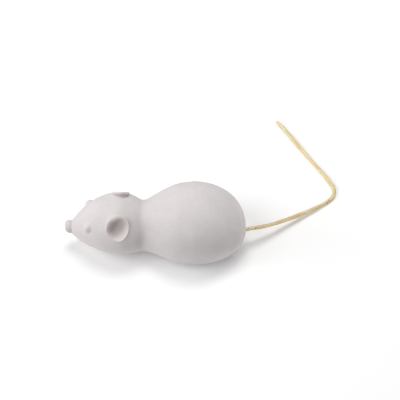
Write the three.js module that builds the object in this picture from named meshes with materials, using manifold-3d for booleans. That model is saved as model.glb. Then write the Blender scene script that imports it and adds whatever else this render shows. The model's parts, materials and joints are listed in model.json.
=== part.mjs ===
// A wind-up toy mouse: a moulded shell on a tin base plate, which carries a spring motor, two driven
// wheels and a front roller. The key is on the mouse's right flank and the tail is a strand of fibre.
// Millimetres, +Z up, nose towards -X. The origin is on the ground, under the middle of the toy with
// its key. Inside this file the mouse is drawn about its own middle plane, y = 0.
import * as THREE from 'three';
import { mergeVertices } from 'three/addons/utils/BufferGeometryUtils.js';
import Module from 'manifold-3d';

const wasm = await Module();
wasm.setup();

// ---------------------------------------------------------------- driving dimensions

const noseX = -45;
const rumpX = 45;
const shellWall = 1.5;
const shellBottom = 3.2;
const plate = { bottom: 2.5, thickness: 0.6, inset: 0.6 };
plate.top = plate.bottom + plate.thickness;

// The round body: its fullest section, and how far the axis has dropped at the rump.
const body = { x: 19, radius: 20.65, axisHeight: 16.4, rumpDrop: 4.3 };
// The rump is a superellipse, a little fuller than an ellipse.
body.rumpFullness = 2.1;
// The knob of the nose is half an egg with a blunt end: the lower the power, the blunter.
const knob = { x: -42.8, radius: 3.35, axisHeight: 13.3, bluntness: 0.75 };
// From behind the knob to the fullest section: x, radius, height of the axis.
const snoutToBody = [
  [-41.5, 4.0, 12.8],
  [-36.0, 8.55, 14.5],
  [-30.0, 12.15, 15.8],
  [-24.0, 14.6, 16.05],
  [-16.5, 15.7, 16.1],
  [-11.0, 14.4, 15.4],
  [-5.8, 13.05, 14.4],
  [-1.0, 14.5, 15.15],
  [5.0, 17.35, 15.9],
  [11.5, 19.7, 16.3],
  [body.x, body.radius, body.axisHeight],
];

const eye = { x: -31.9, out: 7.0, height: 22.3, radius: 2.2 };
const ear = { out: 10.35, height: 27.2, tilt: 35, rim: 6.5, depth: 1.6 };
ear.plug = { radius: 3.0, length: 4.4 };
// The right ear is narrower than the left one, as a share of the rim's height.
const ears = {
  left: { side: -1, x: -17.2, width: 0.86 },
  right: { side: 1, x: -16.9, width: 0.72 },
};

// The tail: its hole in the rump and its route, with the middle plane of the mouse as y = 0.
const tail = { radius: 1.0, holeHeight: 10.7, hole: 1.4, sides: 8, steps: 46 };
const tailRoute = [
  [42.4, 0, 10.7],
  [45.2, 0, 10.7],
  [47.8, 0.8, 10.3],
  [52.5, 2.4, 9.2],
  [57.6, 4.8, 7.6],
  [62.9, 7.8, 5.9],
  [68.2, 10.9, 4.4],
  [73.5, 14.1, 3.2],
  [78.8, 17.3, 2.3],
  [83.9, 20.6, 1.6],
  [87.7, 23.3, 1.2],
  [90.5, 26.1, 1.1],
  [91.8, 29.2, 1.1],
  [91.6, 32.4, 1.1],
  [90.2, 35.7, 1.1],
  [88.3, 39.0, 1.1],
  [86.2, 42.2, 1.1],
  [83.9, 45.6, 1.1],
  [79.7, 52.1, 1.1],
  [75.4, 58.8, 1.1],
  [71.1, 65.5, 1.1],
  [66.7, 72.2, 1.1],
  [64.2, 76.0, 1.1],
];

// The spring motor. Gears share one module; every arbor lies along y.
const gearModule = 0.4;
const teeth = { great: 30, second: 28, third: 24, pinion: 10, ratchet: 12 };
const winding = { x: 17.0, z: 9.8 };
const drive = { x: 26.4, z: 6.5 };
const thirdAngle = 80;
const arborRadius = { winding: 1.2, train: 0.8, axle: 1.0 };
const fitGap = 0.1;
const sidePlate = { inner: 6.2, thickness: 0.7 };
sidePlate.outer = sidePlate.inner + sidePlate.thickness;
// Where each turning piece stands along its arbor: [low y, high y].
const layer = {
  mainspring: [1.6, 5.8],
  ratchet: [0.3, 1.1],
  great: [-0.9, 0.0],
  secondPinion: [-1.7, 0.1],
  secondWheel: [-2.9, -2.0],
  thirdPinion: [-3.4, -1.8],
  thirdWheel: [-4.6, -3.7],
  axlePinion: [-5.2, -3.5],
};
const pillars = {
  front_high: [10.0, 18.2],
  front_low: [8.2, 5.4],
  rear_high: [30.8, 19.4],
  rear_low: [31.8, 5.2],
};
const pillar = { radius: 1.1, neck: 0.6, rivet: 0.95, rivetHeight: 0.35 };
const spring = { inner: 2.1, outer: 5.7, turns: 4, thickness: 0.3 };

const wheel = { radius: 6.5, tyre: 1.5, inner: 7.7, outer: 10.3, slot: 12.8 };
const roller = { x: -16.5, radius: 4.0, width: 4.0, pin: 0.6, height: 4.0 };
const bracket = { inner: 2.4, thickness: 0.7, top: 5.8, length: 4.4 };
const screw = { shank: 0.95, length: 5.4, head: 1.8, headHeight: 0.9 };
const screws = { front: [-25.2, 0], rear_left: [36.0, -7.6], rear_right: [36.0, 7.6] };
const boss = { radius: 2.2, height: 6.2, pilot: 1.1 };
const tab = { xs: [13.4, 30.4], width: 2.6, lip: 1.1, gap: 0.2 };
const key = { hubRadius: 2.1, hubStart: 19.9, hubEnd: 22.4, tip: 27.3, thickness: 1.5 };
key.lobe = { out: 4.6, radius: 3.5 };

// The key reaches past the flank, so the middle plane lies off the origin by half of that.
const middlePlaneY = -(key.tip - body.radius) / 2;

// ---------------------------------------------------------------- materials

const finish = (color, roughness, metalness = 0) =>
  new THREE.MeshStandardMaterial({ color, roughness, metalness });

const materials = {
  shell: finish(0xd6cfcf, 0.85),
  ear: finish(0xd8cfca, 0.85),
  straw: finish(0xd9bd82, 0.8),
  tin: finish(0xb9bbbd, 0.38, 1),
  steel: finish(0x8f9296, 0.35, 1),
  springSteel: finish(0x4c5668, 0.3, 1),
  brass: finish(0xc5a04a, 0.35, 1),
  wheel: finish(0x9c3b30, 0.5),
  rubber: finish(0x2a2a2b, 0.9),
  nylon: finish(0xe4e0d4, 0.6),
};

// ---------------------------------------------------------------- solids and shapes

// A closed three.js geometry as a solid that can be joined and cut.
function solid(geometry) {
  const bare = geometry.index ? geometry.toNonIndexed() : geometry.clone();
  bare.deleteAttribute('normal');
  bare.deleteAttribute('uv');
  const merged = mergeVertices(bare, 1e-4);
  return new wasm.Manifold(
    new wasm.Mesh({
      numProp: 3,
      vertProperties: merged.attributes.position.array,
      triVerts: new Uint32Array(merged.index.array),
    }),
  );
}

function geometryOf(made) {
  const mesh = made.getMesh();
  const geometry = new THREE.BufferGeometry();
  geometry.setAttribute('position', new THREE.BufferAttribute(mesh.vertProperties, 3));
  geometry.setIndex(new THREE.BufferAttribute(mesh.triVerts, 1));
  geometry.computeVertexNormals();
  return geometry;
}

const toy = new THREE.Group();
toy.position.y = middlePlaneY;

// Puts one named piece in the toy. The shape is a geometry or a solid.
function piece(name, shape, material) {
  const geometry = shape.isBufferGeometry ? shape : geometryOf(shape);
  const mesh = new THREE.Mesh(geometry, material);
  mesh.name = name;
  toy.add(mesh);
}

function box(xs, ys, zs) {
  const [dx, dy, dz] = [xs, ys, zs].map(([low, high]) => high - low);
  const middle = [xs, ys, zs].map(([low, high]) => (low + high) / 2);
  return solid(new THREE.BoxGeometry(dx, dy, dz).translate(...middle));
}

// An outline in x and z, extruded across the mouse from one y to another.
function across(shape, [low, high], curveSegments = 6) {
  const settings = { depth: high - low, bevelEnabled: false, curveSegments };
  return new THREE.ExtrudeGeometry(shape, settings).rotateX(Math.PI / 2).translate(0, high, 0);
}

// A span on the +y side, or its mirror image on the -y side.
const onSide = (side, [low, high]) => (side > 0 ? [low, high] : [-high, -low]);

function circle(x, z, radius) {
  return new THREE.Shape().absarc(x, z, radius, 0, 2 * Math.PI);
}

function disc({ x, z }, radius, ys, bore = 0) {
  const shape = circle(x, z, radius);
  if (bore) shape.holes.push(circle(x, z, bore));
  return across(shape, ys);
}

// A round post standing up from one z to another.
function post([x, y], radius, [low, high], sides = 12) {
  return new THREE.CylinderGeometry(radius, radius, high - low, sides)
    .rotateX(Math.PI / 2)
    .translate(x, y, (low + high) / 2);
}

const polar = (centre, radius, angle) =>
  new THREE.Vector2(centre.x + radius * Math.cos(angle), centre.z + radius * Math.sin(angle));

// ---------------------------------------------------------------- the body's form

// Points (x, radius, height of the axis) from the tip of the nose to the end of the rump.
function bodyOutline() {
  const points = [];
  const knobSteps = 4;
  const knobSweep = THREE.MathUtils.degToRad(112);
  for (let i = 0; i <= knobSteps; i++) {
    const a = (knobSweep * i) / knobSteps;
    const x = knob.x - (knob.x - noseX) * Math.cos(a);
    const radius = knob.radius * Math.sin(a) ** knob.bluntness;
    points.push(new THREE.Vector3(x, radius, knob.axisHeight));
  }
  const stations = snoutToBody.map((station) => new THREE.Vector3(...station));
  points.push(...new THREE.CatmullRomCurve3(stations, false, 'centripetal').getPoints(19));
  const rumpSteps = 9;
  for (let i = 1; i <= rumpSteps; i++) {
    const a = (Math.PI / 2) * (i / rumpSteps);
    const power = 2 / body.rumpFullness;
    const x = body.x + (rumpX - body.x) * Math.sin(a) ** power;
    const radius = i < rumpSteps ? body.radius * Math.cos(a) ** power : 0;
    points.push(new THREE.Vector3(x, radius, body.axisHeight - body.rumpDrop * (1 - Math.cos(a))));
  }
  return points;
}

// The same outline moved inwards by the wall, behind the solid nose.
function hollowOutline(outline, wall) {
  const first = outline.findIndex((p) => p.x > -41);
  const inside = [];
  for (let i = first; i < outline.length - 1; i++) {
    const along = outline[i + 1].clone().sub(outline[i - 1]).setZ(0).normalize();
    const x = outline[i].x + along.y * wall;
    const radius = outline[i].y - along.x * wall;
    inside.push(new THREE.Vector3(x, radius, outline[i].z));
  }
  const front = inside[0];
  const rear = outline[outline.length - 1];
  inside.unshift(new THREE.Vector3(front.x, 0, front.z));
  inside.push(new THREE.Vector3(rear.x - wall, 0, rear.z));
  return inside;
}

// A round form about an axis that rises and falls along x.
function roundForm(outline, sides = 24) {
  const profile = outline.map((p) => new THREE.Vector2(p.y, p.x));
  const geometry = new THREE.LatheGeometry(profile, sides);
  const position = geometry.attributes.position;
  for (let i = 0; i < position.count; i++) {
    const axisHeight = outline[i % outline.length].z;
    const [side, along, up] = [position.getZ(i), position.getY(i), position.getX(i)];
    position.setXYZ(i, along, side, up + axisHeight);
  }
  return solid(geometry);
}

const outline = bodyOutline();
const outerForm = roundForm(outline);
const innerForm = roundForm(hollowOutline(outline, shellWall));

// Half the width of the outer form at a height, for each point of the outline that reaches it.
function widthsAt(height) {
  return outline
    .map((p) => ({ x: p.x, half: Math.sqrt(Math.max(0, p.y ** 2 - (p.z - height) ** 2)) }))
    .filter((station) => station.half > plate.inset);
}

// ---------------------------------------------------------------- shell, ears and tail

// The ear is a cup about its own axis; grown by a gap, and filled in front, it cuts its own seat.
function earForm({ side, x, width }, gap = 0) {
  const { rim, depth, plug } = ear;
  const back = [
    [0, -plug.length - gap],
    [plug.radius + gap, -plug.length - gap],
    [plug.radius + gap, -3.2],
    [4.6 + gap, -2.6],
    [6.0 + gap, -1.2],
    [rim + gap, 0.1],
  ];
  const cup = [
    [rim - 0.35, 0.75],
    [rim - 1.1, 0.85],
    [rim - 1.75, 0.3],
    [rim - 2.6, -0.7],
    [rim - 4.4, -depth + 0.2],
    [0, -depth],
  ];
  const filled = [
    [rim + gap, 4],
    [0, 4],
  ];
  const profile = [...back, ...(gap ? filled : cup)].map((p) => new THREE.Vector2(...p));
  const tilt = THREE.MathUtils.degToRad(ear.tilt);
  return solid(
    new THREE.LatheGeometry(profile, 18)
      .scale(width, 1, 1)
      .rotateX(side > 0 ? tilt : Math.PI - tilt)
      .translate(x, side * ear.out, ear.height),
  );
}

function eyeDome(side) {
  const dome = new THREE.SphereGeometry(eye.radius, 12, 8);
  return solid(dome.translate(eye.x, side * eye.out, eye.height));
}

function bossesIn(form) {
  const top = shellBottom + boss.height;
  const posts = Object.values(screws).map((at) => solid(post(at, boss.radius, [shellBottom, top])));
  return posts.map((one) => one.intersect(form));
}

function bodyShell() {
  const pilotTop = shellBottom + boss.height - 1;
  let shell = outerForm.subtract(innerForm);
  for (const one of bossesIn(outerForm)) shell = shell.add(one);
  for (const side of [-1, 1]) shell = shell.add(eyeDome(side));
  shell = shell.subtract(box([-60, 60], [-30, 30], [-10, shellBottom]));
  for (const at of Object.values(screws)) {
    shell = shell.subtract(solid(post(at, boss.pilot, [0, pilotTop])));
  }
  for (const one of Object.values(ears)) shell = shell.subtract(earForm(one, 0.15));
  const keyHole = disc(winding, arborRadius.winding + 0.8, [12, 24]);
  const tailHole = new THREE.CylinderGeometry(tail.hole, tail.hole, 10, 12)
    .rotateZ(Math.PI / 2)
    .translate(rumpX, 0, tail.holeHeight);
  return shell.subtract(solid(keyHole)).subtract(solid(tailHole));
}

function tailStrand() {
  const path = new THREE.CatmullRomCurve3(tailRoute.map((p) => new THREE.Vector3(...p)));
  const section = new THREE.Shape(
    Array.from({ length: tail.sides }, (_, i) => {
      const a = (2 * Math.PI * i) / tail.sides;
      return new THREE.Vector2(tail.radius * Math.cos(a), tail.radius * Math.sin(a));
    }),
  );
  return new THREE.ExtrudeGeometry(section, { extrudePath: path, steps: tail.steps });
}

function tailKnot() {
  return new THREE.TorusKnotGeometry(1.15, 0.46, 36, 5)
    .rotateY(Math.PI / 2)
    .translate(40.4, 0, tail.holeHeight);
}

piece('body_shell', bodyShell(), materials.shell);
for (const [name, one] of Object.entries(ears)) piece(`ear_${name}`, earForm(one), materials.ear);
piece('tail', tailStrand(), materials.straw);
piece('tail_knot', tailKnot(), materials.straw);

// ---------------------------------------------------------------- base plate, screws and roller

function plateOutline() {
  const widths = widthsAt(shellBottom);
  const near = widths.map(({ x, half }) => new THREE.Vector2(x, -half + plate.inset));
  const far = widths.map(({ x, half }) => new THREE.Vector2(x, half - plate.inset));
  return new THREE.Shape([...near, ...far.reverse()]);
}

function basePlate() {
  const through = [plate.bottom - 1, plate.top + 1];
  const sheet = new THREE.ExtrudeGeometry(plateOutline(), {
    depth: plate.thickness,
    bevelEnabled: false,
  });
  let base = solid(sheet.translate(0, 0, plate.bottom));
  const cheekXs = [roller.x - bracket.length / 2, roller.x + bracket.length / 2];
  const wheelXs = [drive.x - wheel.slot / 2, drive.x + wheel.slot / 2];
  for (const side of [-1, 1]) {
    const cheek = onSide(side, [bracket.inner, bracket.inner + bracket.thickness]);
    base = base.add(box(cheekXs, cheek, [plate.bottom, bracket.top]));
    const wheelSlot = onSide(side, [wheel.inner - 0.4, wheel.outer + 0.5]);
    base = base.subtract(box(wheelXs, wheelSlot, through));
    const tabSlot = onSide(side, [sidePlate.inner - tab.gap, sidePlate.outer + tab.gap]);
    for (const x of tab.xs) {
      const half = tab.width / 2 + tab.gap;
      base = base.subtract(box([x - half, x + half], tabSlot, through));
    }
  }
  const slotHalf = roller.radius + 0.4;
  const slotSides = [-bracket.inner, bracket.inner];
  base = base.subtract(box([roller.x - slotHalf, roller.x + slotHalf], slotSides, through));
  const pinHole = disc({ x: roller.x, z: roller.height }, roller.pin + fitGap, [-6, 6]);
  base = base.subtract(solid(pinHole));
  for (const at of Object.values(screws)) {
    base = base.subtract(solid(post(at, screw.shank + 0.15, through)));
  }
  return base;
}

function baseScrew(at) {
  const headLow = plate.bottom - screw.headHeight - 0.05;
  const headHigh = plate.bottom - 0.05;
  const [x, y] = at;
  const shank = solid(post(at, screw.shank, [headHigh - 0.1, headHigh + screw.length], 12));
  const slot = [
    box([x - 1.1, x + 1.1], [y - 0.22, y + 0.22], [headLow - 1, headLow + 0.5]),
    box([x - 0.22, x + 0.22], [y - 1.1, y + 1.1], [headLow - 1, headLow + 0.5]),
  ];
  const head = solid(post(at, screw.head, [headLow, headHigh]));
  return head.add(shank).subtract(slot[0]).subtract(slot[1]);
}

function frontRoller() {
  const half = roller.width / 2;
  const bore = roller.pin + fitGap;
  const profile = [
    [bore, -half],
    [roller.radius - 0.9, -half],
    [roller.radius - 0.25, -half + 0.5],
    [roller.radius, 0],
    [roller.radius - 0.25, half - 0.5],
    [roller.radius - 0.9, half],
    [bore, half],
    [bore, -half],
  ];
  return new THREE.LatheGeometry(profile.map((p) => new THREE.Vector2(...p)), 20).translate(
    roller.x,
    0,
    roller.height,
  );
}

piece('base_plate', basePlate(), materials.tin);
for (const [name, at] of Object.entries(screws)) {
  piece(`screw_${name}`, baseScrew(at), materials.steel);
}
piece('front_roller', frontRoller(), materials.nylon);
const pinReach = bracket.inner + bracket.thickness + 0.5;
piece(
  'roller_pin',
  disc({ x: roller.x, z: roller.height }, roller.pin, [-pinReach, pinReach]),
  materials.steel,
);

// ---------------------------------------------------------------- the gear train's places

const pitchRadius = (count) => (gearModule * count) / 2;
const spacing = (count) => pitchRadius(count + teeth.pinion);

const angleOf = (from, to) => Math.atan2(to.z - from.z, to.x - from.x);
const stepFrom = ({ x, z }, distance, angle) => ({
  x: x + distance * Math.cos(angle),
  z: z + distance * Math.sin(angle),
});

// The third arbor stands over the drive axle, and the second at its own spacing from both.
const third = stepFrom(drive, spacing(teeth.third), THREE.MathUtils.degToRad(thirdAngle));
const second = (() => {
  const base = Math.hypot(third.x - winding.x, third.z - winding.z);
  const [a, b] = [spacing(teeth.great), spacing(teeth.second)];
  const corner = Math.acos((a * a + base * base - b * b) / (2 * a * base));
  return stepFrom(winding, a, angleOf(winding, third) + corner);
})();

// ---------------------------------------------------------------- gears

// An involute tooth's half angle at a radius, thinned for free running.
function halfTooth(count, radius) {
  const pressure = THREE.MathUtils.degToRad(20);
  const pitch = pitchRadius(count);
  const baseRadius = pitch * Math.cos(pressure);
  const involute = (r) => {
    const a = Math.acos(Math.min(1, baseRadius / r));
    return Math.tan(a) - a;
  };
  const thinned = 0.84;
  return (Math.PI / (2 * count)) * thinned + involute(pitch) - involute(radius);
}

// A gear's outline about a centre, with the middle of one tooth at an angle.
function gearShape(centre, count, toothAngle, { addendum, dedendum }) {
  const pitch = pitchRadius(count);
  const root = pitch - dedendum * gearModule;
  const tip = pitch + addendum * gearModule;
  const flank = [root, pitch, tip];
  const points = [];
  for (let i = 0; i < count; i++) {
    const middle = toothAngle + (2 * Math.PI * i) / count;
    const rising = flank.map((r) => polar(centre, r, middle - halfTooth(count, r)));
    const falling = flank.map((r) => polar(centre, r, middle + halfTooth(count, r))).reverse();
    points.push(...rising, ...falling);
  }
  return new THREE.Shape(points);
}

const wheelTeeth = { addendum: 0.8, dedendum: 1.3 };
const pinionTeeth = { addendum: 0.9, dedendum: 1.15 };

function gearWheel(centre, count, toothAngle, ys, bore) {
  const shape = gearShape(centre, count, toothAngle, wheelTeeth);
  shape.holes.push(circle(centre.x, centre.z, bore));
  const windows = 4;
  const windowRadius = pitchRadius(count) * 0.2;
  for (let i = 0; i < windows; i++) {
    const at = polar(centre, pitchRadius(count) * 0.58, ((i + 0.5) * 2 * Math.PI) / windows);
    shape.holes.push(circle(at.x, at.y, windowRadius));
  }
  return across(shape, ys, 4);
}

function pinion(centre, toothAngle, ys, bore) {
  const shape = gearShape(centre, teeth.pinion, toothAngle, pinionTeeth);
  shape.holes.push(circle(centre.x, centre.z, bore));
  return across(shape, ys);
}

// A wheel shows a gap, and the pinion a tooth, on the line between their centres.
const gapTowards = (from, to, count) => angleOf(from, to) + Math.PI / count;

// ---------------------------------------------------------------- ratchet and click

const ratchet = { tip: 3.2, root: 2.45 };
// The click turns on a stud in the great wheel, a good half right angle behind the tooth it stops.
const click = { pivotRadius: 4.4, behind: 0.95, hub: 0.9, stud: 0.45, head: 0.75 };
click.tooth = Math.PI / 2;
click.angle = click.tooth - click.behind;

// Saw teeth: each has a straight face, and a long back that the click slides over.
function ratchetShape() {
  const points = [];
  for (let i = 0; i < teeth.ratchet; i++) {
    const face = (2 * Math.PI * i) / teeth.ratchet;
    const pitch = (2 * Math.PI) / teeth.ratchet;
    points.push(polar(winding, ratchet.root, face), polar(winding, ratchet.tip, face));
    points.push(polar(winding, (ratchet.tip + ratchet.root) / 2 + 0.04, face + pitch / 2));
  }
  const shape = new THREE.Shape(points);
  shape.holes.push(circle(winding.x, winding.z, arborRadius.winding + fitGap));
  return shape;
}

// ---------------------------------------------------------------- placing the motor

const pivots = [
  [winding, arborRadius.winding],
  [second, arborRadius.train],
  [third, arborRadius.train],
  [drive, arborRadius.axle],
];

function sidePlateForm(side) {
  const corners = [
    [6.6, 3.4],
    [33.4, 3.4],
    [33.4, 18.6],
    [31.2, 21.4],
    [9.4, 20.0],
    [7.6, 18.4],
  ];
  const shape = new THREE.Shape(corners.map((corner) => new THREE.Vector2(...corner)));
  for (const [at, radius] of pivots) shape.holes.push(circle(at.x, at.z, radius + fitGap));
  for (const at of Object.values(pillars)) shape.holes.push(circle(...at, pillar.neck + fitGap));
  const ys = onSide(side, [sidePlate.inner, sidePlate.outer]);
  const lip = onSide(side, [sidePlate.inner - tab.lip, sidePlate.outer]);
  const lipHigh = plate.bottom - 0.1;
  const lipLow = lipHigh - sidePlate.thickness;
  let made = solid(across(shape, ys));
  for (const x of tab.xs) {
    const xs = [x - tab.width / 2, x + tab.width / 2];
    made = made.add(box(xs, ys, [lipLow, 3.6])).add(box(xs, lip, [lipLow, lipHigh]));
  }
  return made;
}

function pillarForm([x, z]) {
  const at = { x, z };
  const end = sidePlate.outer + 0.05;
  const head = end + pillar.rivetHeight;
  let made = solid(disc(at, pillar.radius, [-sidePlate.inner + 0.05, sidePlate.inner - 0.05]));
  made = made.add(solid(disc(at, pillar.neck, [-end - 0.1, end + 0.1])));
  made = made.add(solid(disc(at, pillar.rivet, [end, head])));
  return made.add(solid(disc(at, pillar.rivet, [-head, -end])));
}

piece('motor_plate_left', sidePlateForm(-1), materials.tin);
piece('motor_plate_right', sidePlateForm(1), materials.tin);
for (const [name, at] of Object.entries(pillars)) {
  piece(`pillar_${name}`, pillarForm(at), materials.steel);
}

// A thin strip along a row of points, as an outline.
function stripShape(points, thickness) {
  const sides = [1, -1].map((sign) =>
    points.map((p, i) => {
      const before = points[Math.max(0, i - 1)];
      const after = points[Math.min(points.length - 1, i + 1)];
      const along = after.clone().sub(before).normalize();
      const normal = new THREE.Vector2(-along.y, along.x);
      return p.clone().addScaledVector(normal, (sign * thickness) / 2);
    }),
  );
  return new THREE.Shape([...sides[0], ...sides[1].reverse()]);
}

// The mainspring: a spiral about the winding arbor, whose outer end hooks round a pillar.
function mainspring() {
  const [px, pz] = pillars.front_low;
  const anchor = { x: px, z: pz };
  const loopRadius = pillar.radius + 0.15 + spring.thickness / 2;
  const towards = angleOf(winding, anchor);
  const perTurn = 14;
  const count = spring.turns * perTurn;
  const points = [];
  for (let i = 0; i <= count; i++) {
    const radius = spring.inner + ((spring.outer - spring.inner) * i) / count;
    points.push(polar(winding, radius, towards - 0.9 - (2 * Math.PI * (count - i)) / perTurn));
  }
  const loopSteps = 8;
  for (let i = 0; i <= loopSteps; i++) {
    const a = towards - Math.PI * 0.42 + (Math.PI * 1.1 * i) / loopSteps;
    points.push(polar(anchor, loopRadius, a));
  }
  return across(stripShape(points, spring.thickness), layer.mainspring);
}

piece('mainspring', mainspring(), materials.springSteel);

// The key: a hub on the end of the winding arbor, with two round wings.
function windingKey() {
  const { hubRadius, hubStart, hubEnd, tip, lobe, thickness } = key;
  const bore = arborRadius.winding + fitGap;
  const lobeY = tip - (tip - hubEnd) / 2;
  const zs = [winding.z - thickness / 2, winding.z + thickness / 2];
  const stretch = (tip - hubEnd) / 2 / lobe.radius;
  const barXs = [winding.x - lobe.out, winding.x + lobe.out];
  let made = solid(disc(winding, hubRadius, [hubStart, hubEnd]));
  made = made.add(box(barXs, [hubEnd - 0.7, tip - 1.2], zs));
  for (const side of [-1, 1]) {
    const wing = post([0, 0], lobe.radius, zs, 20).scale(1, stretch, 1);
    const hole = post([0, 0], lobe.radius * 0.42, [zs[0] - 1, zs[1] + 1]).scale(1, stretch, 1);
    const x = winding.x + side * lobe.out;
    made = made.add(solid(wing.translate(x, lobeY, 0)));
    made = made.subtract(solid(hole.translate(x, lobeY, 0)));
  }
  return made.subtract(solid(disc(winding, bore, [hubStart - 1, hubEnd - 0.5])));
}

const arborEnd = sidePlate.outer + 0.3;
piece(
  'winding_arbor',
  disc(winding, arborRadius.winding, [-arborEnd, key.hubEnd - 0.7]),
  materials.steel,
);
piece('winding_key', windingKey(), materials.tin);
piece('ratchet_wheel', across(ratchetShape(), layer.ratchet), materials.steel);

// The great wheel runs free on the winding arbor and carries the click on a stud.
const studAt = polar(winding, click.pivotRadius, click.angle);
const stud = { x: studAt.x, z: studAt.y };

function greatWheel() {
  const bore = arborRadius.winding + fitGap;
  const phase = gapTowards(winding, second, teeth.great);
  const made = gearWheel(winding, teeth.great, phase, layer.great, bore);
  return solid(made).subtract(solid(disc(stud, click.stud + 0.05, [-3, 3])));
}

piece('great_wheel', greatWheel(), materials.brass);

// The click reaches over one tooth, and its beak drops to the foot of the next.
function clickForm() {
  const offStud = (dx, dz) => new THREE.Vector2(stud.x + dx, stud.z + dz);
  const arm = new THREE.Shape([
    polar(winding, ratchet.root + 0.22, click.tooth - 0.04),
    polar(winding, ratchet.tip + 0.15, click.tooth - 0.24),
    offStud(-0.3, -0.5),
    offStud(0.25, 0.5),
    polar(winding, ratchet.tip + 0.55, click.tooth - 0.04),
  ]);
  const ring = solid(disc(stud, click.hub, layer.ratchet));
  const bore = solid(disc(stud, click.stud + fitGap, [-3, 3]));
  return solid(across(arm, layer.ratchet)).add(ring).subtract(bore);
}

function clickStud() {
  const [back] = layer.great;
  const [, front] = layer.ratchet;
  const shank = solid(disc(stud, click.stud, [back - 0.2, front + 0.2]));
  const backHead = solid(disc(stud, click.head, [back - 0.35, back - 0.05]));
  const frontHead = solid(disc(stud, click.head, [front + 0.05, front + 0.3]));
  return shank.add(backHead).add(frontHead);
}

// A leaf spring from a foot on the great wheel, round the stud and on to the back of the click.
function clickSpring() {
  const route = [
    [4.17, -1.94],
    [4.9, -0.6],
    [5.2, 1.0],
    [5.0, 2.6],
    [4.25, 3.7],
    [3.2, 3.95],
    [2.0, 3.95],
  ].map(([x, z]) => new THREE.Vector2(winding.x + x, winding.z + z));
  const leaf = new THREE.SplineCurve(route).getPoints(18);
  const foot = { x: route[0].x, z: route[0].y };
  const ys = [0.1, 1.0];
  return solid(across(stripShape(leaf, 0.25), ys)).add(solid(disc(foot, 0.5, ys)));
}

piece('click', clickForm(), materials.steel);
piece('click_stud', clickStud(), materials.steel);
piece('click_spring', clickSpring(), materials.springSteel);

// Each later arbor carries a pinion, driven by the wheel before it, and a wheel for the next.
function trainArbor(name, at, before, next, count) {
  const bore = arborRadius.train + fitGap;
  const wheelPhase = gapTowards(at, next, count);
  piece(`${name}_arbor`, disc(at, arborRadius.train, [-arborEnd, arborEnd]), materials.steel);
  piece(
    `${name}_pinion`,
    pinion(at, angleOf(at, before), layer[`${name}Pinion`], bore),
    materials.steel,
  );
  piece(
    `${name}_wheel`,
    gearWheel(at, count, wheelPhase, layer[`${name}Wheel`], bore),
    materials.brass,
  );
}

trainArbor('second', second, winding, third, teeth.second);
trainArbor('third', third, second, drive, teeth.third);

// ---------------------------------------------------------------- drive axle, wheels and tyres

const axleEnd = wheel.outer + 0.4;
piece('drive_axle', disc(drive, arborRadius.axle, [-axleEnd, axleEnd]), materials.steel);
piece(
  'axle_pinion',
  pinion(drive, angleOf(drive, third), layer.axlePinion, arborRadius.axle + fitGap),
  materials.steel,
);

// A turned profile of [radius, y], drawn for the right side and turned over for the left.
function turnedOnAxle(profile, side) {
  const points = [...profile, profile[0]].map((p) => new THREE.Vector2(...p));
  return new THREE.LatheGeometry(points, 22)
    .rotateX(side > 0 ? 0 : Math.PI)
    .translate(drive.x, 0, drive.z);
}

function wheelHub(side) {
  const { inner, outer } = wheel;
  const bore = arborRadius.axle + fitGap;
  const rim = wheel.radius - wheel.tyre - fitGap;
  const profile = [
    [bore, inner],
    [2.1, inner],
    [2.3, inner + 0.8],
    [rim - 0.9, inner + 0.8],
    [rim - 0.7, inner + 0.2],
    [rim, inner + 0.2],
    [rim, outer - 0.2],
    [rim - 0.7, outer - 0.2],
    [rim - 0.9, inner + 1.5],
    [2.3, inner + 1.5],
    [2.1, outer],
    [bore, outer],
  ];
  return turnedOnAxle(profile, side);
}

function tyre(side) {
  const { inner, outer, radius } = wheel;
  const middle = (inner + outer) / 2;
  const seat = radius - wheel.tyre;
  const profile = [
    [seat, inner],
    [radius - 0.6, inner],
    [radius, inner + 0.5],
    [radius, middle - 0.3],
    [radius - 0.35, middle],
    [radius, middle + 0.3],
    [radius, outer - 0.5],
    [radius - 0.6, outer],
    [seat, outer],
  ];
  return turnedOnAxle(profile, side);
}

for (const [name, side] of [
  ['left', -1],
  ['right', 1],
]) {
  piece(`drive_wheel_${name}`, wheelHub(side), materials.wheel);
  piece(`tyre_${name}`, tyre(side), materials.rubber);
}

export default toy;
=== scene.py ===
# A wind-up toy mouse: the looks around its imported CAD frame. Everything is in metres, in the frame.
import json
import math
import random

import bmesh
import bpy
import numpy as np
from mathutils import Matrix, Vector, noise


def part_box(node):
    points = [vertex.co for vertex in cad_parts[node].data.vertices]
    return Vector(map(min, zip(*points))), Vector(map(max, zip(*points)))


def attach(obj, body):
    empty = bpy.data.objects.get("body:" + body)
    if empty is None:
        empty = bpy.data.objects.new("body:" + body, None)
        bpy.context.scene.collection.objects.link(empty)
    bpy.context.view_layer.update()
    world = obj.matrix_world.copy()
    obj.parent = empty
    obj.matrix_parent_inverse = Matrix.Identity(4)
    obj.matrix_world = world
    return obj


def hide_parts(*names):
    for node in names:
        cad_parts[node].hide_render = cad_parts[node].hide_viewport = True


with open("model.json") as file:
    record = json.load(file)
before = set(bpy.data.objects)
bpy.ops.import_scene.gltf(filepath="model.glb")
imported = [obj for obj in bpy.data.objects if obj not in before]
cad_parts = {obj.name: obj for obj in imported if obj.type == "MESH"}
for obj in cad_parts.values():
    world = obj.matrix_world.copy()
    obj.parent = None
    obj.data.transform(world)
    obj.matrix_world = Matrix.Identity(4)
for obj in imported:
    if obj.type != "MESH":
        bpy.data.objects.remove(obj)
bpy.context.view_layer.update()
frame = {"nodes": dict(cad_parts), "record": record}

MM = 0.001
nodes = frame["nodes"]


def corners(node):
    low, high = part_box(node)
    return np.array(low), np.array(high)


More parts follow.
